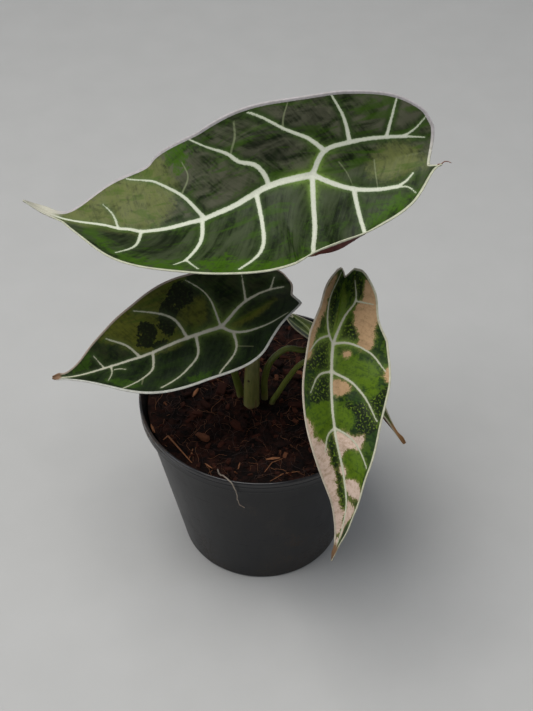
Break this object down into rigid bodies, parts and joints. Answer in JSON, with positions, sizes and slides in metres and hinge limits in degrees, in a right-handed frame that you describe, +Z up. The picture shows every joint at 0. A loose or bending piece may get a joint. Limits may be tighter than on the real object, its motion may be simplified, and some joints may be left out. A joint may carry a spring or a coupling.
{
  "type": "potted alocasia",
  "caption": "Small alocasia with narrow shield-shaped leaves, pale veins and cream and lime patches, growing in bark mix in a round tapered black nursery pot.",
  "frame": {"origin": "middle of the pot's foot, on the surface it stands on", "axes": "+Z up, -Y towards the front, where the picture is taken from, +X to the right seen from there"},
  "size_m": [0.1803, 0.1643, 0.2576],
  "materials": {
    "pot": "satin moulded plastic",
    "soil": "rough bark chips and coir",
    "rootstock": "rough",
    "stray_root": "dry fibre",
    "blade": "semi-gloss green with whitish veins",
    "blade_mottled": "semi-gloss, cream, lime and dark green patches",
    "stalk": "smooth olive green"
  },
  "bodies": {
    "root": {"pot": "pot", "soil": "soil", "rootstock": "rootstock", "stray_root": "stray_root", "leaf_large": "blade", "leaf_left": "blade_mottled", "leaf_right": "blade_mottled", "leaf_back": "blade", "stalk_large": "stalk", "stalk_left": "stalk", "stalk_right": "stalk", "stalk_back": "stalk"}
  },
  "joints": []
}
